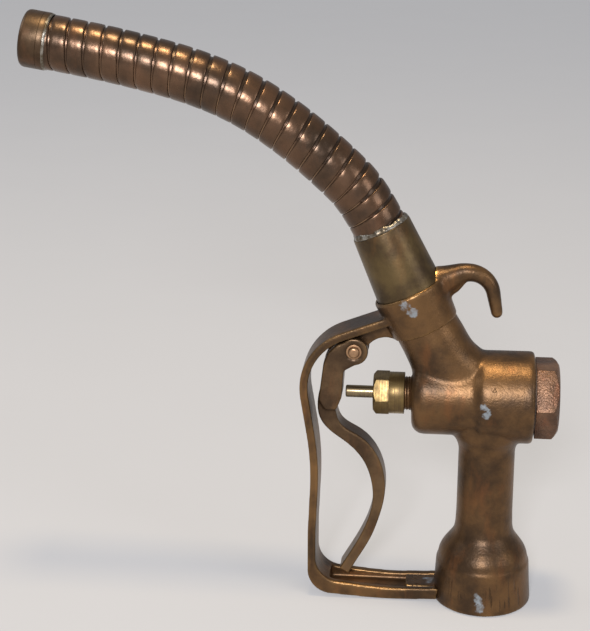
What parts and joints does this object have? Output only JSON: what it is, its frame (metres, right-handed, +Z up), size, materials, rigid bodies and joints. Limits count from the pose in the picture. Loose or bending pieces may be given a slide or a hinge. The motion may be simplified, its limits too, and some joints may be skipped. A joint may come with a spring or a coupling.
{
  "type": "fuel nozzle",
  "caption": "Hand-held fuel nozzle with an inlet bell, handle pipe, lever valve, guard, hanging hook and a flexible metal spout.",
  "frame": {"origin": "centre of the inlet bell's bottom face, on the handle pipe's axis", "axes": "+Z up the handle pipe away from the inlet, +X along the valve stem towards the valve cap, spout leaning towards -X, symmetric about Y = 0"},
  "size_m": [0.2686, 0.051, 0.3035],
  "materials": {
    "cast_bronze": "cast bronze with a dark brown patina, worn golden on edges",
    "guard_bronze": "cast bronze, patina rubbed bright along the edges",
    "lever_bronze": "cast bronze, dark with a rubbed ridge",
    "cap_bronze": "rough cast bronze",
    "nut_brass": "turned brass, bright with brown tarnish",
    "turned_brass": "turned brass",
    "stem_brass": "drawn brass rod, dulled",
    "rivet_brass": "riveted brass",
    "ferrule_brass": "smooth brass tube, olive brown",
    "hose_copper": "strip-wound copper alloy hose, brown and polished",
    "tip_brass": "brass ferrule, dark",
    "solder": "soft solder, dull silver",
    "steel_screw": "plain steel",
    "spring_steel": "spring wire",
    "gasket": "fibre",
    "packing": "greased braided packing",
    "disc_leather": "oiled leather"
  },
  "bodies": {
    "root": {"body_casting": "cast_bronze", "guard_casting": "guard_bronze", "guard_screw": "steel_screw", "seat_ring": "turned_brass", "packing_rings": "packing", "packing_gland": "turned_brass", "packing_nut": "nut_brass", "valve_spring": "spring_steel", "valve_cap": "cap_bronze", "cap_gasket": "gasket", "pivot_pin": "rivet_brass", "pivot_washers": "rivet_brass", "spout_ferrule": "ferrule_brass", "spout_gasket": "gasket", "spout_hose": "hose_copper", "tip_ferrule": "tip_brass", "ferrule_solder": "solder", "tip_solder": "solder"},
    "lever": {"lever": "lever_bronze"},
    "stem": {"push_stem": "stem_brass", "disc_nut": "turned_brass", "disc_washer": "turned_brass", "seat_disc": "disc_leather", "disc_holder": "turned_brass"}
  },
  "joints": [
    {"name": "lever_pivot", "type": "hinge", "parent": "root", "child": "lever", "pos_m": [-0.0686, 0, 0.1358], "axis": [0, -1, 0], "range_deg": [0, 18], "stiffness_Nm_per_rad": 1.2},
    {"name": "stem_slide", "type": "slide", "parent": "root", "child": "stem", "axis": [1, 0, 0], "range_m": [0, 0.0068], "deforming": ["valve_spring"]}
  ],
  "couplings": [
    {"joint": "stem_slide", "follows": "lever_pivot", "m_per_rad": 0.021}
  ]
}
